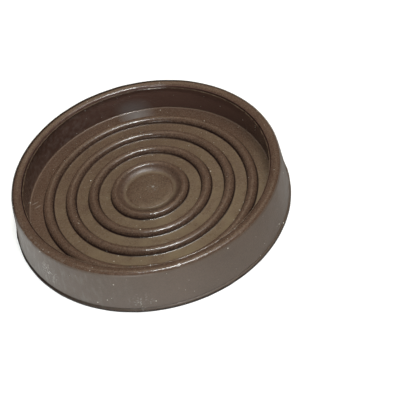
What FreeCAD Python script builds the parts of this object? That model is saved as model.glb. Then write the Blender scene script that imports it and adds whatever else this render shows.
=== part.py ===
# Castor cup: a round cup, moulded in one piece from brown rubber, that stands under a furniture castor.
# A drafted wall with a rounded lip stands round a floor with raised rings, which stop the wheel from rolling.
# The underside is flat, with parallel grip grooves whose ends lie on one circle.
# Millimetres, +Z up, with the origin in the middle of the underside.

import FreeCAD, Part
import math
import os
import Sketcher

Vector = FreeCAD.Vector
UPWARDS = Vector(0, 0, 1)
ORIGIN = (-1, 1)
ACROSS_AXIS, UPRIGHT_AXIS = range(-1, -3, -1)
START, END, CENTRE = range(1, 4)

document = FreeCAD.newDocument("castor_cup_document")


# Driving sizes
sheet = document.addObject("Spreadsheet::Sheet", "sizes")
driving_sizes = {
    "inside_diameter": 76.0,     # wall to wall, where the castor's wheel stands
    "height": 14.5,              # underside to the top of the lip
    "floor_thickness": 4.5,      # underside to the lands between the rings
    "rim_wall": 2.95,            # wall at the lip, before it is rounded
    "base_wall": 4.75,           # wall at the foot, so the outside is drafted and the inside upright
    "lip_outer_round": 1.4,
    "lip_inner_round": 0.8,
    "floor_cove": 0.5,           # hollow corner between the wall and the floor
    "foot_proud": 0.4,           # bead round the foot, where the two halves of the mould met
    "foot_band": 0.7,            # upright edge of that bead
    "foot_slope": 0.5,           # height of the slope from the bead's edge up to the wall
    "rib_count": 3,              # raised rings between the hub and the wall
    "rib_width": 3.6,
    "rib_height": 1.65,
    "rib_flank": 0.3,            # upright foot of each ring, below its round crown
    "outer_land": 4.4,           # plain floor between the last ring and the wall
    "pad_radius": 7.4,           # flat pad in the middle of the raised hub
    "pad_rise": 0.2,             # the pad stands this much above the bottom of the cove round it
    "hub_cove_reach": 3.4,       # edge of the pad to the crest of the hub
    "hub_crown_reach": 1.6,      # crest of the hub to its outer foot
    "groove_pitch": 6.6,
    "groove_width": 2.0,
    "groove_depth": 1.0,
    "groove_margin": 6.0,        # plain ring between the groove ends and the edge of the foot
}
for row, (alias, size) in enumerate(driving_sizes.items(), start=1):
    sheet.set(f"A{row}", alias.replace("_", " "))
    sheet.set(f"B{row}", str(size))
    sheet.setAlias(f"B{row}", alias)
document.recompute()


# Sizes that follow from the driving ones, as formulas on the sheet's names
inside_radius = "(sizes.inside_diameter / 2)"
wall_foot_radius = f"({inside_radius} + sizes.base_wall)"
base_radius = f"({wall_foot_radius} + sizes.foot_proud)"
rim_radius = f"({inside_radius} + sizes.rim_wall)"
hub_crest_radius = "(sizes.pad_radius + sizes.hub_cove_reach)"
hub_radius = f"({hub_crest_radius} + sizes.hub_crown_reach)"
rib_pitch = f"(({inside_radius} - sizes.outer_land - {hub_radius}) / sizes.rib_count)"
crown_rise = "(sizes.rib_height - sizes.rib_flank)"
foot_top_level = "(sizes.foot_band + sizes.foot_slope)"
sunk_level = "(sizes.floor_thickness / 2)"
flank_level = "(sizes.floor_thickness + sizes.rib_flank)"
pad_level = "(sizes.floor_thickness + sizes.pad_rise)"
groove_end_radius = f"({base_radius} - sizes.groove_margin)"

# Each rounding is limited by the wall that it sits on
outer_round_limit = "min(sizes.lip_outer_round; sizes.rim_wall * 0.55)"
inner_round_limit = "min(sizes.lip_inner_round; sizes.rim_wall * 0.35)"


def size_of(formula):
    """Number that a formula on the sheet gives now."""
    return float(sheet.evalExpression(formula))


# The body, and the sketch tools that its features share
body = document.addObject("PartDesign::Body", "castor_cup")
body.Label = "castor_cup"


def new_sketch(name, plane_role):
    """Empty sketch on one of the body's own origin planes."""
    sketch = body.newObject("Sketcher::SketchObject", name)
    plane = next(feature for feature in body.Origin.OriginFeatures if feature.Role == plane_role)
    sketch.AttachmentSupport = (plane, "")
    sketch.MapMode = "FlatFace"
    return sketch


def constrain(sketch, *constraint):
    return sketch.addConstraint(Sketcher.Constraint(*constraint))


def tie(sketch, formula, kind, *places):
    """Adds a measured constraint whose value follows a formula on the sheet."""
    index = constrain(sketch, kind, *places, size_of(formula))
    sketch.setExpression(f"Constraints[{index}]", formula)


def tie_point(sketch, edge, place, across, up):
    """Holds a point of a sketch at two distances from the origin, where "0" puts it on an axis."""
    if across == "0":
        constrain(sketch, "PointOnObject", edge, place, UPRIGHT_AXIS)
    else:
        tie(sketch, across, "DistanceX", *ORIGIN, edge, place)
    if up == "0":
        constrain(sketch, "PointOnObject", edge, place, ACROSS_AXIS)
    else:
        tie(sketch, up, "DistanceY", *ORIGIN, edge, place)


def draw_path(sketch, corners):
    """Straight edges from corner to corner, each corner held by its own two formulas."""
    points = [Vector(size_of(across), size_of(up), 0) for across, up in corners]
    edges = []
    for start, end in zip(points, points[1:]):
        edges.append(sketch.addGeometry(Part.LineSegment(start, end), False))
    for edge, following in zip(edges, edges[1:]):
        constrain(sketch, "Coincident", edge, END, following, START)
    for edge, (across, up) in zip(edges, corners):
        tie_point(sketch, edge, START, across, up)
    if corners[0] == corners[-1]:
        constrain(sketch, "Coincident", edges[-1], END, edges[0], START)
    else:
        tie_point(sketch, edges[-1], END, *corners[-1])
    return edges


def revolve(sketch, name):
    """Turns a half section about the upright axis into a ring or disc that joins the body."""
    revolution = body.newObject("PartDesign::Revolution", name)
    revolution.Profile = sketch
    revolution.ReferenceAxis = (sketch, ["V_Axis"])
    revolution.Angle = 360
    document.recompute()
    return revolution


def round_edge(base, name, edge_radius, edge_level, rounding):
    """Rounds the one circular edge of a feature that has this radius and level."""
    wanted_radius = size_of(edge_radius)
    wanted_level = size_of(edge_level)
    closeness = 1e-4
    for number, edge in enumerate(base.Shape.Edges, start=1):
        if not isinstance(edge.Curve, Part.Circle):
            continue
        same_radius = abs(edge.Curve.Radius - wanted_radius) < closeness
        same_level = abs(edge.Curve.Center.z - wanted_level) < closeness
        if same_radius and same_level:
            fillet = body.newObject("PartDesign::Fillet", name)
            fillet.Base = (base, [f"Edge{number}"])
            fillet.Radius = size_of(rounding)
            fillet.setExpression("Radius", rounding)
            document.recompute()
            return fillet
    raise RuntimeError(f"{name}: no circular edge of radius {wanted_radius} at level {wanted_level}")


# Wall and floor: one half section with the foot bead, the drafted outside and the upright inside
section = new_sketch("CupSection", "XZ_Plane")
draw_path(section, [
    ("0", "0"),
    (base_radius, "0"),
    (base_radius, "sizes.foot_band"),
    (wall_foot_radius, foot_top_level),
    (rim_radius, "sizes.height"),
    (inside_radius, "sizes.height"),
    (inside_radius, "sizes.floor_thickness"),
    ("0", "sizes.floor_thickness"),
    ("0", "0"),
])
cup = revolve(section, "Cup")
cup = round_edge(cup, "LipOuterRound", rim_radius, "sizes.height", outer_round_limit)
cup = round_edge(cup, "LipInnerRound", inside_radius, "sizes.height", inner_round_limit)
round_edge(cup, "FloorCove", inside_radius, "sizes.floor_thickness", "sizes.floor_cove")


# Raised rings: short upright flanks under a round crown, evenly spaced outwards from the hub
rib_crown_radius = f"(((sizes.rib_width / 2)^2 + {crown_rise}^2) / (2 * {crown_rise}))"
for rib in range(1, int(sheet.rib_count) + 1):
    rib_outer = f"({hub_radius} + {rib} * {rib_pitch})"
    rib_inner = f"({rib_outer} - sizes.rib_width)"
    rib_sketch = new_sketch(f"RingSection{rib}", "XZ_Plane")
    flanks = draw_path(rib_sketch, [
        (rib_inner, flank_level),
        (rib_inner, sunk_level),
        (rib_outer, sunk_level),
        (rib_outer, flank_level),
    ])
    inner_top = Vector(size_of(rib_inner), size_of(flank_level), 0)
    outer_top = Vector(size_of(rib_outer), size_of(flank_level), 0)
    crest = (inner_top + outer_top) / 2 + Vector(0, size_of(crown_rise), 0)
    crown = rib_sketch.addGeometry(Part.Arc(outer_top, crest, inner_top), False)
    constrain(rib_sketch, "Coincident", crown, START, flanks[-1], END)
    constrain(rib_sketch, "Coincident", crown, END, flanks[0], START)
    tie(rib_sketch, rib_crown_radius, "Radius", crown)
    revolve(rib_sketch, f"Ring{rib}")


# Hub: its crown rolls over into a cove, which runs out level at a flat pad in the middle
hub_crown_radius = f"((sizes.hub_crown_reach^2 + {crown_rise}^2) / (2 * {crown_rise}))"
both_radii = "((sizes.hub_cove_reach^2 + sizes.rib_height^2) / (2 * sizes.rib_height))"

hub_sketch = new_sketch("HubSection", "XZ_Plane")
hub_edges = draw_path(hub_sketch, [
    ("sizes.pad_radius", "sizes.floor_thickness"),
    ("sizes.pad_radius", pad_level),
    ("0", pad_level),
    ("0", sunk_level),
    (hub_radius, sunk_level),
    (hub_radius, flank_level),
])

# First places of the two arcs, which meet where the line between their centres crosses them
floor_level = size_of("sizes.floor_thickness")
crown_radius = size_of(hub_crown_radius)
cove_radius = size_of(both_radii) - crown_radius
crest_level = floor_level + size_of("sizes.rib_height")
crown_centre = Vector(size_of(hub_crest_radius), crest_level - crown_radius, 0)
cove_centre = Vector(size_of("sizes.pad_radius"), floor_level + cove_radius, 0)
towards_cove = (cove_centre - crown_centre).normalize()
meeting_point = crown_centre + towards_cove * crown_radius
hub_crest = crown_centre + Vector(0, crown_radius, 0)
halfway_down = (-towards_cove + Vector(0, -1, 0)).normalize()
cove_middle = cove_centre + halfway_down * cove_radius
hub_flank_top = Vector(size_of(hub_radius), size_of(flank_level), 0)
pad_edge = Vector(size_of("sizes.pad_radius"), floor_level, 0)

hub_crown = hub_sketch.addGeometry(Part.Arc(hub_flank_top, hub_crest, meeting_point), False)
hub_cove = hub_sketch.addGeometry(Part.Arc(meeting_point, cove_middle, pad_edge), False)
constrain(hub_sketch, "Coincident", hub_crown, START, hub_edges[-1], END)
tie(hub_sketch, hub_crest_radius, "DistanceX", *ORIGIN, hub_crown, CENTRE)
tie(hub_sketch, hub_crown_radius, "Radius", hub_crown)
constrain(hub_sketch, "Tangent", hub_crown, END, hub_cove, END)
constrain(hub_sketch, "Coincident", hub_cove, START, hub_edges[0], START)
tie(hub_sketch, "sizes.pad_radius", "DistanceX", *ORIGIN, hub_cove, CENTRE)
hub = revolve(hub_sketch, "Hub")


# Grip grooves: round-ended slots side by side, the middle one across the centre
half_width = "(sizes.groove_width / 2)"
groove_reach = size_of(groove_end_radius) - size_of("sizes.groove_width")
grooves_each_side = math.floor(groove_reach / size_of("sizes.groove_pitch"))

groove_sketch = new_sketch("GripGrooveOutlines", "XY_Plane")
for groove in range(-grooves_each_side, grooves_each_side + 1):
    away = f"({abs(groove)} * sizes.groove_pitch)"
    half_run = f"(sqrt({groove_end_radius}^2 - {away}^2) - {half_width})"
    side = math.copysign(1, groove)
    height_in_sketch = side * size_of(away)
    end_radius = size_of(half_width)
    right_centre = Vector(size_of(half_run), height_in_sketch, 0)
    left_centre = Vector(-size_of(half_run), height_in_sketch, 0)
    offset = Vector(0, end_radius, 0)
    right_circle = Part.Circle(right_centre, UPWARDS, end_radius)
    left_circle = Part.Circle(left_centre, UPWARDS, end_radius)
    quarter = math.pi / 2
    right_end = groove_sketch.addGeometry(Part.ArcOfCircle(right_circle, -quarter, quarter), False)
    upper = groove_sketch.addGeometry(Part.LineSegment(right_centre + offset, left_centre + offset), False)
    left_end = groove_sketch.addGeometry(Part.ArcOfCircle(left_circle, quarter, 3 * quarter), False)
    lower = groove_sketch.addGeometry(Part.LineSegment(left_centre - offset, right_centre - offset), False)
    constrain(groove_sketch, "Tangent", right_end, END, upper, START)
    constrain(groove_sketch, "Tangent", upper, END, left_end, START)
    constrain(groove_sketch, "Tangent", left_end, END, lower, START)
    constrain(groove_sketch, "Tangent", lower, END, right_end, START)
    tie(groove_sketch, half_width, "Radius", right_end)
    tie(groove_sketch, half_run, "DistanceX", *ORIGIN, right_end, CENTRE)
    tie(groove_sketch, half_run, "DistanceX", left_end, CENTRE, *ORIGIN)
    constrain(groove_sketch, "Horizontal", upper)
    if groove == 0:
        constrain(groove_sketch, "PointOnObject", right_end, CENTRE, ACROSS_AXIS)
    elif groove > 0:
        tie(groove_sketch, away, "DistanceY", *ORIGIN, right_end, CENTRE)
    else:
        tie(groove_sketch, away, "DistanceY", right_end, CENTRE, *ORIGIN)

volume_before_grooves = hub.Shape.Volume
grooves = body.newObject("PartDesign::Pocket", "GripGrooves")
grooves.Profile = groove_sketch
grooves.Reversed = True
grooves.Length = size_of("sizes.groove_depth")
grooves.setExpression("Length", "sizes.groove_depth")
body.Tip = grooves
document.recompute()
if body.Shape.Volume >= volume_before_grooves:
    raise RuntimeError("the grip grooves cut nothing from the underside")


# Tests, then the file
for item in document.Objects:
    if "Invalid" in item.State or "Error" in item.State:
        raise RuntimeError(f"{item.Label} failed: {item.State}")
for sketch in document.findObjects("Sketcher::SketchObject"):
    if sketch.solve() != 0:
        raise RuntimeError(f"{sketch.Label} has no solution")
if body.Shape.isNull() or not body.Shape.isValid() or len(body.Shape.Solids) != 1:
    raise RuntimeError("the cup is not one valid solid")

os.makedirs("parts", exist_ok=True)
body.Shape.exportStep(f"parts/{body.Label}.step")

box = body.Shape.optimalBoundingBox()
print(f"{body.Label}: {box.XLength:.2f} x {box.YLength:.2f} x {box.ZLength:.2f} mm")
print(f"volume {body.Shape.Volume:.0f} mm3, {2 * grooves_each_side + 1} grip grooves")
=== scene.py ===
import math

import bpy
from mathutils import Euler, Matrix, Vector


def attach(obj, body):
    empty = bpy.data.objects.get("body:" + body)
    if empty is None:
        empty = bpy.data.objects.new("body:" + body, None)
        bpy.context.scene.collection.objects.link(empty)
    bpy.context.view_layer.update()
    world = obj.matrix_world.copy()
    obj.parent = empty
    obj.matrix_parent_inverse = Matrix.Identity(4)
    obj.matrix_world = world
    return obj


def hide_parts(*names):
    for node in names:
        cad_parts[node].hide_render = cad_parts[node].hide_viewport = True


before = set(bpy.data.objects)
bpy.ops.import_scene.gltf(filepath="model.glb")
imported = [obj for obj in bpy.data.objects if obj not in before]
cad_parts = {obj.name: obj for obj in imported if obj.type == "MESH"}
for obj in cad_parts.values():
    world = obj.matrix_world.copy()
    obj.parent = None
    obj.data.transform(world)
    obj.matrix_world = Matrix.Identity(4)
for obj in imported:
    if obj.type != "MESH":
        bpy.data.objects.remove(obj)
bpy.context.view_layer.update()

# Cup: one moulding of brown rubber with a rounded lip, raised rings and a hub on its floor.
# Its half section is drawn point by point in millimetres, at radius and level, and spun
# round the upright axis, as the mould that the cup came from was turned.
MILLIMETRE = 0.001
pen = Vector((0.0, 0.0))


def start_section(radius, level):
    """Starts a section as a mesh of one point, at a radius and level."""
    bpy.ops.object.select_all(action="DESELECT")
    bpy.ops.mesh.primitive_plane_add(size=MILLIMETRE)
    bpy.ops.object.mode_set(mode="EDIT")
    bpy.ops.mesh.merge(type="CENTER")
    bpy.ops.transform.translate(value=(radius * MILLIMETRE, 0, level * MILLIMETRE))
    pen[:] = radius, level
    return bpy.context.object


def draw_line(radius, level, pieces=1):
    """Extrudes the section's last point to a radius and level, in equal pieces."""
    step = (Vector((radius, level)) - pen) * MILLIMETRE / pieces
    for piece in range(pieces):
        bpy.ops.mesh.extrude_region_move(TRANSFORM_OT_translate={"value": (step.x, 0, step.y)})
    pen[:] = radius, level


def draw_arc(radius, level, turn, pieces):
    """Spins the section's last point about a centre, through an angle in degrees."""
    centre = Vector((radius, level))
    bpy.ops.mesh.spin(
        steps=pieces,
        angle=math.radians(turn),
        center=(radius * MILLIMETRE, 0, level * MILLIMETRE),
        axis=(0, 1, 0),
    )
    pen[:] = centre + Matrix.Rotation(math.radians(turn), 2) @ (pen - centre)


# Foot: a thin bead with a sloped top, and a crease where the wall rises from it
base_radius = 43.15
foot_edge = 0.15
bead_level = 0.7
crease_level = 1.16
crease_depth = 0.17
wall_foot_radius = 42.75
wall_foot_level = 1.2
cup = start_section(base_radius - foot_edge, 0.0)
cup.name = "cup"
cup.data.name = "cup"
draw_arc(base_radius - foot_edge, foot_edge, turn=90, pieces=3)
draw_line(base_radius, bead_level, pieces=2)
draw_line(wall_foot_radius + 0.05, crease_level - 0.08, pieces=2)
draw_line(wall_foot_radius - crease_depth, crease_level)
draw_line(wall_foot_radius - 0.03, crease_level + 0.24)

# Outer wall, which leans in, and the lip: rounded outside and crowned down to a soft inner edge
height = 14.5
rim_radius = 41.05
lip_round = 1.4
lip_crown = 2.9
lip_crown_turn = 33
lip_edge = 0.35
lip_edge_turn = 80 - lip_crown_turn
wall_lean = math.atan2(wall_foot_radius - rim_radius, height - wall_foot_level)
lip_round_level = height - lip_round
wall_radius_there = wall_foot_radius - (lip_round_level - wall_foot_level) * math.tan(wall_lean)
lip_round_radius = wall_radius_there - lip_round / math.cos(wall_lean)
draw_line(
    lip_round_radius + lip_round * math.cos(wall_lean),
    lip_round_level + lip_round * math.sin(wall_lean),
    pieces=12,
)
draw_arc(lip_round_radius, lip_round_level, turn=90 - math.degrees(wall_lean), pieces=12)
draw_arc(lip_round_radius, height - lip_crown, turn=lip_crown_turn, pieces=8)
lip_edge_radius = pen.x + lip_edge * math.sin(math.radians(lip_crown_turn))
lip_edge_level = pen.y - lip_edge * math.cos(math.radians(lip_crown_turn))
draw_arc(lip_edge_radius, lip_edge_level, turn=lip_edge_turn, pieces=5)

# Seam under the lip's inner edge, where the mould parted, and the thin fin of flash beside it
inside_radius = 38.0
wall_top_level = 12.85
seam_radius = 38.1
seam_level = 13.5
draw_line(seam_radius, seam_level)
draw_line(seam_radius - 0.12, seam_level - 0.28)
draw_line(seam_radius - 0.40, seam_level - 0.04)
draw_line(seam_radius - 0.50, seam_level)
draw_line(seam_radius - 0.57, seam_level - 0.16)
draw_line(seam_radius - 0.40, seam_level - 0.44)
draw_line(inside_radius, wall_top_level)

# Upright inner wall, and the cove where it meets the floor
floor_level = 4.5
floor_cove = 0.3
draw_line(inside_radius, floor_level + floor_cove, pieces=10)
draw_arc(inside_radius - floor_cove, floor_level + floor_cove, turn=-90, pieces=5)

# Three rings, from the outermost inwards, with round crowns on small hollow feet
ring_outsides = (33.6, 26.533, 19.467)
ring_width = 3.6
ring_height = 1.65
ring_foot = 0.3
crown_reach = ring_width / 2 - ring_foot
crown_rise = ring_height - ring_foot
crown_round = (crown_reach ** 2 + crown_rise ** 2) / (2 * crown_rise)
crown_level = floor_level + ring_height - crown_round
crown_half_turn = math.degrees(math.asin(crown_reach / crown_round))
for ring_outside in ring_outsides:
    draw_line(ring_outside, floor_level, pieces=4)
    draw_arc(ring_outside, floor_level + ring_foot, turn=-90, pieces=4)
    draw_arc(ring_outside - ring_width / 2, crown_level, turn=2 * crown_half_turn, pieces=18)
    draw_arc(ring_outside - ring_width, floor_level + ring_foot, turn=-90, pieces=4)

# Hub, whose crown rolls over into a cove round a slightly raised pad
hub_radius = 12.4
hub_crest = 10.75
pad_radius = 7.4
pad_rise = 0.2
pad_edge = 0.5
pad_level = floor_level + pad_rise
hub_reach = hub_radius - ring_foot - hub_crest
hub_round = (hub_reach ** 2 + crown_rise ** 2) / (2 * crown_rise)
cove_reach = hub_crest - pad_radius
cove_round = (cove_reach ** 2 + ring_height ** 2) / (2 * ring_height) - hub_round
cove_turn = math.degrees(math.asin(cove_reach / (hub_round + cove_round)))
hub_half_turn = math.degrees(math.asin(hub_reach / hub_round))
draw_line(hub_radius, floor_level, pieces=4)
draw_arc(hub_radius, floor_level + ring_foot, turn=-90, pieces=4)
draw_arc(hub_crest, floor_level + ring_height - hub_round, turn=hub_half_turn + cove_turn, pieces=20)
draw_arc(pad_radius, floor_level + cove_round, turn=-cove_turn, pieces=12)
draw_line(pad_radius - 0.4 * pad_edge, floor_level + pad_rise / 2)
draw_line(pad_radius - pad_edge, pad_level)
draw_line(0.0, pad_level, pieces=5)

# The section is swept once round the axis, and one flat face closes the underside
sweep_steps = 420
merge_distance = 0.002 * MILLIMETRE
bpy.ops.object.mode_set(mode="OBJECT")
sweep = cup.modifiers.new("sweep", "SCREW")
sweep.steps = sweep_steps
sweep.render_steps = sweep_steps
sweep.use_merge_vertices = True
sweep.merge_threshold = merge_distance
bpy.ops.object.modifier_apply(modifier=sweep.name)
bpy.ops.object.mode_set(mode="EDIT")
bpy.ops.mesh.select_all(action="SELECT")
bpy.ops.mesh.remove_doubles(threshold=merge_distance)
bpy.ops.mesh.select_all(action="DESELECT")
bpy.ops.mesh.select_non_manifold()
bpy.ops.mesh.edge_face_add()
bpy.ops.mesh.select_all(action="SELECT")
bpy.ops.mesh.normals_make_consistent(inside=False)
bpy.ops.object.mode_set(mode="OBJECT")


# Unevenness of the moulding: long low waves in the skin, ragged flash at the lip and at the foot
def displace(name, wave_length, depth, chosen):
    """Pushes the chosen points of the cup in and out by cloudy noise, both sizes in millimetres."""
    group = cup.vertex_groups.new(name=name)
    group.add([vertex.index for vertex in cup.data.vertices if chosen(vertex.co)], 1.0, "REPLACE")
    noise = bpy.data.textures.new(name, "CLOUDS")
    noise.noise_scale = wave_length * MILLIMETRE
    noise.noise_depth = 2
    waves = cup.modifiers.new(name, "DISPLACE")
    waves.texture = noise
    waves.vertex_group = group.name
    waves.strength = depth * MILLIMETRE
    bpy.ops.object.modifier_apply(modifier=waves.name)
    bpy.data.textures.remove(noise)


def on_skin(spot):
    return spot.z > 0.5 * MILLIMETRE


def on_flash(spot):
    beside_seam = spot.xy.length / MILLIMETRE < seam_radius - 0.3
    return beside_seam and seam_level - 0.3 < spot.z / MILLIMETRE < seam_level + 0.1


def on_foot(spot):
    return spot.xy.length > (base_radius - 0.1) * MILLIMETRE and spot.z > 0.1 * MILLIMETRE


displace("mould_waves", wave_length=7.0, depth=0.14, chosen=on_skin)
displace("lip_flash", wave_length=1.2, depth=0.30, chosen=on_flash)
displace("foot_flash", wave_length=3.0, depth=0.25, chosen=on_foot)


def select_points(piece, chosen):
    """Selects the points of a mesh that pass a test, and leaves it in edit mode."""
    bpy.ops.object.mode_set(mode="EDIT")
    bpy.ops.mesh.select_all(action="DESELECT")
    bpy.ops.object.mode_set(mode="OBJECT")
    for vertex in piece.data.vertices:
        vertex.select = chosen(vertex)
    bpy.ops.object.mode_set(mode="EDIT")


def nudge(azimuth, radius, level, outwards, upwards, reach):
    """Pulls the skin at one spot of the cup, softly out to a reach; millimetres, azimuth in degrees."""
    away = Vector((math.cos(math.radians(azimuth)), math.sin(math.radians(azimuth)), 0.0))
    spot = (away * radius + Vector((0.0, 0.0, level))) * MILLIMETRE
    nearest = min(cup.data.vertices, key=lambda vertex: (vertex.co - spot).length).index
    select_points(cup, lambda vertex: vertex.index == nearest)
    bpy.ops.transform.translate(
        value=(away * outwards + Vector((0.0, 0.0, upwards))) * MILLIMETRE,
        use_proportional_edit=True,
        proportional_edit_falloff="SMOOTH",
        proportional_size=reach * MILLIMETRE,
    )
    bpy.ops.object.mode_set(mode="OBJECT")


# Torn flash at the right of the lip, and a dent in the lip's front
nudge(azimuth=26.3, radius=37.5, level=13.4, outwards=0.25, upwards=0.30, reach=0.7)
nudge(azimuth=19.2, radius=37.5, level=13.4, outwards=0.30, upwards=0.20, reach=0.9)
nudge(azimuth=13.1, radius=37.5, level=13.4, outwards=0.30, upwards=0.25, reach=0.9)
nudge(azimuth=277.5, radius=40.4, level=14.2, outwards=-0.14, upwards=-0.10, reach=0.9)

# Grip grooves: eleven round-ended slots along X, moulded into the underside.
# One round plug is spun, whose flared mouth leaves soft edges, and each copy of it is
# pulled apart into a slot whose ends lie on a circle.
rows_each_side = 5
groove_pitch = 6.6
groove_end_radius = 37.15
groove_half_width = 1.0
groove_depth = 1.0
groove_corner = 0.3
mouth_flare = 0.15
plug_bottom = -1.0
plug_steps = 32
plug = start_section(0.0, groove_depth)
draw_line(groove_half_width - groove_corner, groove_depth)
draw_arc(groove_half_width - groove_corner, groove_depth - groove_corner, turn=-90, pieces=4)
draw_line(groove_half_width, mouth_flare)
draw_line(groove_half_width + mouth_flare / 3, mouth_flare / 3)
draw_line(groove_half_width + mouth_flare, 0.0)
draw_line(groove_half_width + 2 * mouth_flare, -mouth_flare)
draw_line(groove_half_width + 2 * mouth_flare, plug_bottom)
draw_line(0.0, plug_bottom)
bpy.ops.mesh.select_all(action="SELECT")
bpy.ops.transform.rotate(value=math.pi / plug_steps, orient_axis="Z", center_override=(0, 0, 0))
bpy.ops.mesh.spin(steps=plug_steps, angle=math.tau, center=(0, 0, 0), axis=(0, 0, 1))
bpy.ops.mesh.select_all(action="SELECT")
bpy.ops.mesh.remove_doubles(threshold=merge_distance)
bpy.ops.mesh.normals_make_consistent(inside=False)
bpy.ops.object.mode_set(mode="OBJECT")

cutters = []
for row in range(-rows_each_side, rows_each_side + 1):
    groove_place = row * groove_pitch
    groove_reach = math.sqrt(groove_end_radius ** 2 - groove_place ** 2) - groove_half_width
    bpy.ops.object.select_all(action="DESELECT")
    bpy.context.view_layer.objects.active = plug
    plug.select_set(True)
    bpy.ops.object.duplicate()
    cutter = bpy.context.object
    cutters.append(cutter)
    for side in (-1, 1):
        select_points(cutter, lambda vertex: vertex.co.x * side > 0.01 * MILLIMETRE)
        bpy.ops.transform.translate(value=(side * groove_reach * MILLIMETRE, 0, 0))
    bpy.ops.mesh.select_all(action="SELECT")
    bpy.ops.transform.translate(value=(0, groove_place * MILLIMETRE, 0))
    bpy.ops.object.mode_set(mode="OBJECT")

bpy.ops.object.select_all(action="DESELECT")
for cutter in cutters:
    cutter.select_set(True)
bpy.context.view_layer.objects.active = cutters[0]
bpy.ops.object.join()
bpy.ops.object.select_all(action="DESELECT")
cup.select_set(True)
bpy.context.view_layer.objects.active = cup
grooves = cup.modifiers.new("grooves", "BOOLEAN")
grooves.operation = "DIFFERENCE"
grooves.solver = "EXACT"
grooves.object = cutters[0]
bpy.ops.object.modifier_apply(modifier=grooves.name)
bpy.data.objects.remove(cutters[0])
bpy.data.objects.remove(plug)

bpy.ops.object.shade_smooth_by_angle(angle=math.radians(35))

# Rubber: brown moulding compound with a satin skin, one batch for the whole cup.
# Its finish is set by place on the cup, in millimetres: dust lies on the floor, the feet of the
# rings and the lip's edge are painted dark as shade, the outer wall is scuffed, and lint lies all over.
rubber = bpy.data.materials.new("brown_rubber")
rubber.use_nodes = True
tree = rubber.node_tree
rubber_shader = tree.nodes["Principled BSDF"]


def add_node(kind, **settings):
    """Adds a node to the tree at hand."""
    node = tree.nodes.new(kind)
    for name, value in settings.items():
        setattr(node, name, value)
    return node


def feed(socket, source):
    """Links a source to a socket, or sets the socket to a plain value."""
    if isinstance(source, bpy.types.NodeSocket):
        tree.links.new(source, socket)
    else:
        socket.default_value = source


def ramp(value, low, high):
    """0 at the low value, 1 at the high one, and straight in between."""
    node = add_node("ShaderNodeMapRange")
    feed(node.inputs["Value"], value)
    feed(node.inputs["From Min"], low)
    feed(node.inputs["From Max"], high)
    return node.outputs["Result"]


def reckon(operation, first, second):
    """One sum on two values."""
    node = add_node("ShaderNodeMath", operation=operation)
    feed(node.inputs[0], first)
    feed(node.inputs[1], second)
    return node.outputs["Value"]


def product(value, *others):
    """Several masks or shares multiplied together."""
    for other in others:
        value = reckon("MULTIPLY", value, other)
    return value


def near(value, middle, reach):
    """1 within reach of the middle value, and 0 elsewhere."""
    node = add_node("ShaderNodeMath", operation="COMPARE")
    feed(node.inputs[0], value)
    feed(node.inputs[1], middle)
    feed(node.inputs[2], reach)
    return node.outputs["Value"]


def distance(vector):
    """Length of a vector."""
    node = add_node("ShaderNodeVectorMath", operation="LENGTH")
    feed(node.inputs[0], vector)
    return node.outputs["Value"]


def cloud(size, detail=3.0, stretch=(1.0, 1.0, 1.0)):
    """Soft random pattern whose blotches are that many millimetres wide."""
    mapping = add_node("ShaderNodeMapping")
    feed(mapping.inputs["Vector"], place)
    feed(mapping.inputs["Scale"], stretch)
    node = add_node("ShaderNodeTexNoise")
    feed(node.inputs["Vector"], mapping.outputs["Vector"])
    feed(node.inputs["Scale"], 1 / size)
    feed(node.inputs["Detail"], detail)
    return node.outputs["Fac"]


def specks(spacing, radius, share):
    """Round specks of a radius, in a share of cells of that spacing."""
    node = add_node("ShaderNodeTexVoronoi")
    feed(node.inputs["Vector"], place)
    feed(node.inputs["Scale"], 1 / spacing)
    chance = add_node("ShaderNodeSeparateColor")
    feed(chance.inputs["Color"], node.outputs["Color"])
    chosen = reckon("GREATER_THAN", chance.outputs["Red"], 1 - share)
    edge = radius / spacing
    return product(chosen, ramp(node.outputs["Distance"], edge, edge / 2))


def patch(spot, long, wide, turn=0.0):
    """Soft oval patch: 1 at a spot, 0 past its half lengths, and turned by an angle in degrees."""
    mapping = add_node("ShaderNodeMapping", vector_type="TEXTURE")
    feed(mapping.inputs["Vector"], place)
    feed(mapping.inputs["Location"], spot)
    feed(mapping.inputs["Rotation"], (0.0, 0.0, math.radians(turn)))
    feed(mapping.inputs["Scale"], (long, wide, long))
    return ramp(distance(mapping.outputs["Vector"]), 1.0, 0.0)


def stain(ground, mask, share, tone):
    """Lays a tone over the ground colour, by a share of a mask."""
    node = add_node("ShaderNodeMix", data_type="RGBA")
    feed(node.inputs[0], product(mask, share))
    feed(node.inputs[6], ground)
    feed(node.inputs[7], (*tone, 1.0))
    return node.outputs[2]


# Place on the cup: across, level above the underside, distance from the axis, and towards the front
millimetres = add_node("ShaderNodeVectorMath", operation="SCALE")
feed(millimetres.inputs["Vector"], add_node("ShaderNodeTexCoord").outputs["Object"])
feed(millimetres.inputs["Scale"], 1 / MILLIMETRE)
place = millimetres.outputs["Vector"]
split = add_node("ShaderNodeSeparateXYZ")
feed(split.inputs["Vector"], place)
across = split.outputs["X"]
level = split.outputs["Z"]
flat = add_node("ShaderNodeVectorMath", operation="MULTIPLY")
feed(flat.inputs[0], place)
feed(flat.inputs[1], (1.0, 1.0, 0.0))
radius = distance(flat.outputs["Vector"])
drift = reckon("SUBTRACT", product(across, 0.35), split.outputs["Y"])
to_the_front = reckon("DIVIDE", drift, radius)
left_side = ramp(across, 5.0, -35.0)
far_left = ramp(across, -5.0, -25.0)
right_side = ramp(across, 5.0, 36.0)

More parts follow.
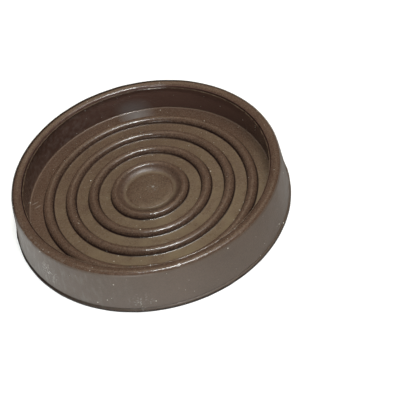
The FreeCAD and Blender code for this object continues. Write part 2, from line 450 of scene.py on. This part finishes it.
# Masks on the floor: the lands between the rings, the hub's pad and cove, the rings' feet and flanks
ring_half_pitch = 3.5333
outermost = ring_outsides[0]
above_underside = ramp(level, 2.0, 3.0)
inside_wall = product(above_underside, ramp(radius, inside_radius - 0.3, inside_radius - 0.6))
on_lands = product(inside_wall, ramp(level, floor_level + 0.22, floor_level + 0.08))
on_pad = product(above_underside, ramp(radius, pad_radius - 0.1, pad_radius - 0.8))
in_hub_cove = product(
    above_underside,
    ramp(radius, pad_radius - 0.4, pad_radius + 0.6),
    ramp(radius, hub_crest - 0.35, hub_crest - 1.35),
)
outside_rings = ramp(radius, outermost - 0.4, outermost + 0.2)
from_ring_middle = reckon("PINGPONG", reckon("ADD", radius, ring_half_pitch), ring_half_pitch)
among_rings = product(
    above_underside,
    ramp(radius, hub_radius - 1.0, hub_radius - 0.6),
    ramp(radius, outermost + 1.7, outermost + 1.4),
)
at_ring_feet = product(
    among_rings,
    ramp(level, floor_level + 0.75, floor_level + 0.30),
    ramp(from_ring_middle, ring_width / 2 + 0.1, ring_width / 2 - 0.1),
)
front_feet = product(at_ring_feet, ramp(to_the_front, 0.80, 0.98))
back_feet = product(at_ring_feet, ramp(to_the_front, -0.40, -0.95))
on_flanks = product(
    among_rings,
    ramp(level, floor_level + 1.30, floor_level + 0.95),
    ramp(level, floor_level + 0.25, floor_level + 0.45),
)

# Masks on the wall: its two sides, the lip's outer edge, seam and flash, and the edge of the floor
on_outer_wall = ramp(radius, rim_radius - 0.3, rim_radius)
on_inner_wall = product(
    near(radius, inside_radius, 0.2),
    ramp(level, floor_level + 0.3, floor_level + 0.7),
)
outwards = reckon("SUBTRACT", radius, product(to_the_front, 1.2))
lip_outside_shade = product(
    ramp(outwards, rim_radius - 0.60, rim_radius - 0.15),
    ramp(to_the_front, 0.1, -0.2),
    ramp(level, height - 1.9, height - 1.3),
)
on_rim = near(radius, rim_radius - 0.55, 0.6)
on_lip_flash = product(near(radius, seam_radius - 0.54, 0.16), near(level, seam_level - 0.10, 0.17))
in_lip_seam = product(near(radius, seam_radius - 0.15, 0.22), near(level, seam_level - 0.08, 0.30))
floor_edge_highlight = product(
    above_underside,
    near(radius, inside_radius - 0.18, 0.22),
    ramp(level, floor_level + 0.45, floor_level + 0.25),
)

# Colour: two browns in soft blotches, with a fine dark and pale grain that is fainter on the walls
lighter_blotches = ramp(cloud(12.0), 0.3, 0.7)
colour = stain((0.093, 0.054, 0.036, 1.0), lighter_blotches, 1.0, (0.113, 0.067, 0.046))
on_walls = reckon("ADD", on_outer_wall, on_inner_wall)
grain_share = reckon("SUBTRACT", 1.0, product(on_walls, 0.6))
colour = stain(colour, ramp(cloud(0.45, 2.0), 0.45, 0.85), grain_share, (0.030, 0.016, 0.011))
colour = stain(colour, ramp(cloud(0.40, 2.0), 0.50, 0.90), grain_share, (0.170, 0.128, 0.096))

# Dust on the floor, thinner on the pad and stronger towards the front right; it is left off the back of
# the annulus, which keeps a darker brown as painted shade
dusty = reckon("MAXIMUM", on_lands, product(on_pad, 0.4))
dust_towards_front_right = reckon("ADD", 0.3, ramp(drift, -30.0, 30.0))
inside_annulus = reckon("SUBTRACT", 1.0, outside_rings)
clear_of_annulus_shade = reckon("ADD", inside_annulus, ramp(drift, -5.0, 20.0))
dust_and_annulus_shade = product(dusty, ramp(cloud(5.0), 0.15, 0.75), reckon("MINIMUM", dust_towards_front_right, clear_of_annulus_shade))
colour = stain(colour, dust_and_annulus_shade, 0.6, (0.175, 0.132, 0.076))

# Dark ticks on the rings' flanks; painted shade at the feet of the rings, lighter at the front and the
# back, and at the front of the hub's cove
flank_ticks = product(on_flanks, ramp(cloud(0.55, 2.0), 0.46, 0.62))
colour = stain(colour, flank_ticks, 0.65, (0.030, 0.015, 0.013))
# Painted shade: the feet of the rings are darkened, less so at the front and the back.
painted_foot_shade = reckon("SUBTRACT", at_ring_feet, product(front_feet, 0.35))
painted_foot_shade = reckon("SUBTRACT", painted_foot_shade, product(back_feet, 0.60))
colour = stain(colour, painted_foot_shade, 0.92, (0.014, 0.006, 0.007))
# Painted shade: the front of the hub's cove is darkened.
painted_cove_shade = product(in_hub_cove, ramp(drift, 2.0, 8.0))
colour = stain(colour, painted_cove_shade, 0.45, (0.030, 0.017, 0.011))

# Walls: painted redder inside as their shade and greyer outside as the sheen of the pale floor, paler
# low down and at the left, with painted shade on the bead at the foot
# Painted shade: the inner wall takes the redder tone of shade.
colour = stain(colour, on_inner_wall, 0.60, (0.114, 0.059, 0.050))
# Painted sheen: the outer wall is greyed as if mirroring the pale floor.
colour = stain(colour, on_outer_wall, 0.25, (0.095, 0.095, 0.080))
low_down = ramp(level, 14.0, 2.0)
paler_low_and_left = product(on_outer_wall, reckon("ADD", low_down, left_side))
colour = stain(colour, paler_low_and_left, 0.07, (0.20, 0.20, 0.185))
streaks = ramp(cloud(1.2, 8.0, stretch=(1.0, 1.0, 0.3)), 0.50, 0.72)
scuffs = product(streaks, on_outer_wall, reckon("POWER", left_side, 2.0))
colour = stain(colour, scuffs, 0.45, (0.26, 0.26, 0.24))
# Pale mottling on the inner wall at the far left, partly marks on the rubber and partly painted light
# on this side of the wall.
mottling_and_light = product(ramp(cloud(1.5, 6.0), 0.42, 0.70), on_inner_wall, far_left)
colour = stain(colour, mottling_and_light, 0.75, (0.19, 0.135, 0.115))
chafing = product(ramp(cloud(1.1, 8.0), 0.50, 0.68), on_rim, left_side)
colour = stain(colour, chafing, 0.45, (0.19, 0.155, 0.125))
# Painted shade: the bead at the foot is darkened, higher up at the left.
left_bead = product(left_side, ramp(level, 1.25, 1.05))
on_bead = reckon("MAXIMUM", left_bead, ramp(level, 0.90, 0.65))
bead_shade = product(on_outer_wall, on_bead)
colour = stain(colour, bead_shade, 0.92, (0.016, 0.009, 0.007))

# Single marks: pale flecks, a painted sheen on the floor and wall at the back, two wrinkles and a
# scratch on the pad
flecks = ramp(cloud(0.7, 4.0), 0.54, 0.64)
for spot, reach, share in (
    ((-32.2, -27.0, 7.0), 4.5, 0.9),
    ((-7.0, -41.8, 3.5), 4.5, 0.35),
    ((1.0, 1.0, 4.7), 2.4, 0.45),
):
    colour = stain(colour, product(flecks, patch(spot, reach, reach)), share, (0.50, 0.49, 0.46))
# Painted sheen: pale patches on the floor at the back and, fainter, on the wall above it.
for spot, reach, share in (
    ((-0.5, 35.4, 4.5), 6.5, 0.8),
    ((-4.2, 37.8, 6.5), 4.5, 0.3),
):
    painted_sheen = product(patch(spot, reach, reach), above_underside, outside_rings)
    colour = stain(colour, painted_sheen, share, (0.205, 0.188, 0.180))
first_wrinkle = patch((-36.0, 4.3, 4.5), long=1.6, wide=0.30, turn=25.0)
second_wrinkle = patch((-35.2, 2.6, 4.5), long=1.5, wide=0.30, turn=25.0)
wrinkles = reckon("ADD", first_wrinkle, second_wrinkle)
colour = stain(colour, wrinkles, 0.8, (0.24, 0.19, 0.16))
scratch = patch((-4.8, -2.9, 4.7), long=2.2, wide=0.16, turn=62.0)
colour = stain(colour, scratch, 0.8, (0.040, 0.022, 0.015))

# Edges: painted shade on the lip's outer edge at the back, paler flash, a painted highlight round the
# floor's edge, painted shade in the seam; then lint
# Painted shade: the lip's outer edge is darkened at the back.
colour = stain(colour, lip_outside_shade, 0.80, (0.016, 0.009, 0.006))
colour = stain(colour, on_lip_flash, 0.35, (0.20, 0.155, 0.105))
# Painted highlight: a pale line round the edge of the floor, by the wall.
colour = stain(colour, floor_edge_highlight, 0.42, (0.215, 0.148, 0.112))
# Painted shade: the seam under the lip is darkened, less so at the back.
seam_shade = ramp(to_the_front, -1.1, -0.5)
colour = stain(colour, in_lip_seam, seam_shade, (0.040, 0.021, 0.016))
large_lint = specks(spacing=1.5, radius=0.26, share=0.05)
small_lint = specks(spacing=0.8, radius=0.14, share=0.05)
lint = reckon("MAXIMUM", large_lint, product(small_lint, 0.7))
colour = stain(colour, lint, 1.0, (0.60, 0.56, 0.48))
feed(rubber_shader.inputs["Base Color"], colour)

# Gloss: a little uneven, and duller in the hub's cove, on the outer wall and where dust or lint lies
gloss = reckon("ADD", 0.13, product(cloud(2.0), 0.14))
for dull_place, share in ((dust_and_annulus_shade, 0.15), (in_hub_cove, 0.20), (on_outer_wall, 0.22)):
    gloss = reckon("ADD", gloss, product(dull_place, share))
gloss = reckon("MAXIMUM", gloss, product(lint, 0.8))
feed(rubber_shader.inputs["Roughness"], gloss)

# Sheen: the skin hardly mirrors at a glancing angle or where it is dark, but glints at the front feet
facing = add_node("ShaderNodeLayerWeight").outputs["Facing"]
sheen = product(ramp(facing, 0.95, 0.70), 0.5)
dull_feet = reckon("SUBTRACT", product(at_ring_feet, ramp(to_the_front, 0.90, 0.50)), back_feet)
dulled = reckon("MAXIMUM", reckon("ADD", bead_shade, dull_feet), product(right_side, on_outer_wall))
dulled = reckon("MAXIMUM", dulled, lip_outside_shade)
sheen = product(sheen, reckon("SUBTRACT", 1.0, product(dulled, 0.8)))
sheen = reckon("ADD", sheen, product(front_feet, 0.8))
feed(rubber_shader.inputs["Specular IOR Level"], sheen)

# Relief: the fine grain of the mould, with lint and the wrinkles standing proud of it
grain = reckon("ADD", cloud(0.6, 3.0), reckon("ADD", lint, wrinkles))
relief = add_node("ShaderNodeBump")
feed(relief.inputs["Height"], grain)
feed(relief.inputs["Distance"], 0.055 * MILLIMETRE)
feed(rubber_shader.inputs["Normal"], relief.outputs["Normal"])
cup.data.materials.clear()
cup.data.materials.append(rubber)

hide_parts("castor_cup")
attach(cup, "root")

# Floor: a plain white sheet that the cup stands on and throws its soft shadow on.
# Rays from the camera and reflections see it a little lighter, so that it is white, and the
# camera sees it white as far as it reaches, past the light of the lamps.
WHITE = (1.0, 1.0, 1.0, 1.0)
sheet_size = 4.0
near_lift = 0.25
far_start = 0.12
far_end = 0.60
bpy.ops.object.select_all(action="DESELECT")
bpy.ops.mesh.primitive_plane_add(size=sheet_size)
sheet = bpy.context.object
sheet.name = "floor_sheet"
paper = bpy.data.materials.new("white_paper")
paper.use_nodes = True
tree = paper.node_tree
paper_shader = tree.nodes["Principled BSDF"]
feed(paper_shader.inputs["Base Color"], (0.9, 0.9, 0.9, 1.0))
feed(paper_shader.inputs["Roughness"], 0.8)
feed(paper_shader.inputs["Emission Color"], WHITE)
rays = add_node("ShaderNodeLightPath").outputs
seen_or_mirrored = reckon("MAXIMUM", rays["Is Camera Ray"], rays["Is Glossy Ray"])
seen_at_all = reckon("MAXIMUM", seen_or_mirrored, rays["Is Transmission Ray"])
from_middle = distance(add_node("ShaderNodeTexCoord").outputs["Object"])
far_lift = product(ramp(from_middle, far_start, far_end), rays["Is Camera Ray"])
feed(paper_shader.inputs["Emission Strength"], reckon("ADD", product(seen_at_all, near_lift), far_lift))
sheet.data.materials.append(paper)


# Light: a compact lamp nearly overhead and a softer one beside it, a low one at the front left for
# the outer wall, a broad one at the right and a warm one high behind. The room is dim, but the
# camera sees it white.
def add_lamp(name, azimuth, elevation, width, brightness, tone):
    """Disk lamp a metre from the cup, in degrees; brightness 1 lights a white face to full white."""
    sideways = math.cos(math.radians(elevation))
    direction = Vector((
        sideways * math.cos(math.radians(azimuth)),
        sideways * math.sin(math.radians(azimuth)),
        math.sin(math.radians(elevation)),
    ))
    lamp = bpy.data.lights.new(name, "AREA")
    lamp.shape = "DISK"
    lamp.size = 2 * math.tan(math.radians(width / 2))
    lamp.energy = math.pi ** 2 * brightness
    lamp.color = tone
    lamp_object = bpy.data.objects.new(name, lamp)
    lamp_object.location = direction
    lamp_object.rotation_euler = direction.to_track_quat("Z", "Y").to_euler()
    bpy.context.scene.collection.objects.link(lamp_object)


add_lamp("overhead_lamp", azimuth=270, elevation=79, width=4, brightness=0.46, tone=(0.95, 1.0, 1.0))
add_lamp("ceiling_lamp", azimuth=305, elevation=72, width=14, brightness=0.30, tone=(0.97, 1.0, 1.0))
add_lamp("front_lamp", azimuth=248, elevation=7, width=12, brightness=0.27, tone=(1.0, 1.0, 0.98))
add_lamp("right_lamp", azimuth=330, elevation=65, width=26, brightness=0.19, tone=(1.0, 0.95, 0.88))
add_lamp("back_lamp", azimuth=72, elevation=68, width=44, brightness=0.19, tone=(1.0, 0.85, 0.60))

room_brightness = 0.035
world = bpy.data.worlds.new("dim_room")
bpy.context.scene.world = world
world.use_nodes = True
tree = world.node_tree
room = tree.nodes["Background"]
feed(room.inputs["Color"], WHITE)
seen_by_camera = add_node("ShaderNodeLightPath").outputs["Is Camera Ray"]
feed(room.inputs["Strength"], reckon("MAXIMUM", seen_by_camera, room_brightness))

# Camera: looks down at 46 degrees from the front, a little turned round its own axis.
# Its frame is the square picture, with the cup left of the middle. Its place is given along
# its own axes, to the right, up and back from the middle of the cup's underside.
camera_angle = 46.30
camera_roll = -11.311
camera_place = Vector((0.01479, 0.000087, 0.31167))
camera_data = bpy.data.cameras.new("camera")
camera_data.sensor_width = 36.0
camera_data.lens = 90.0
camera_data.clip_start = 0.01
camera = bpy.data.objects.new("camera", camera_data)
bpy.context.scene.collection.objects.link(camera)
tilt = Euler((math.radians(90 - camera_angle), 0.0, 0.0)).to_matrix()
roll = Euler((0.0, 0.0, math.radians(camera_roll))).to_matrix()
turn = tilt @ roll
camera.location = turn @ camera_place
camera.rotation_euler = turn.to_euler()
bpy.context.scene.camera = camera
bpy.context.scene.view_settings.view_transform = "Standard"
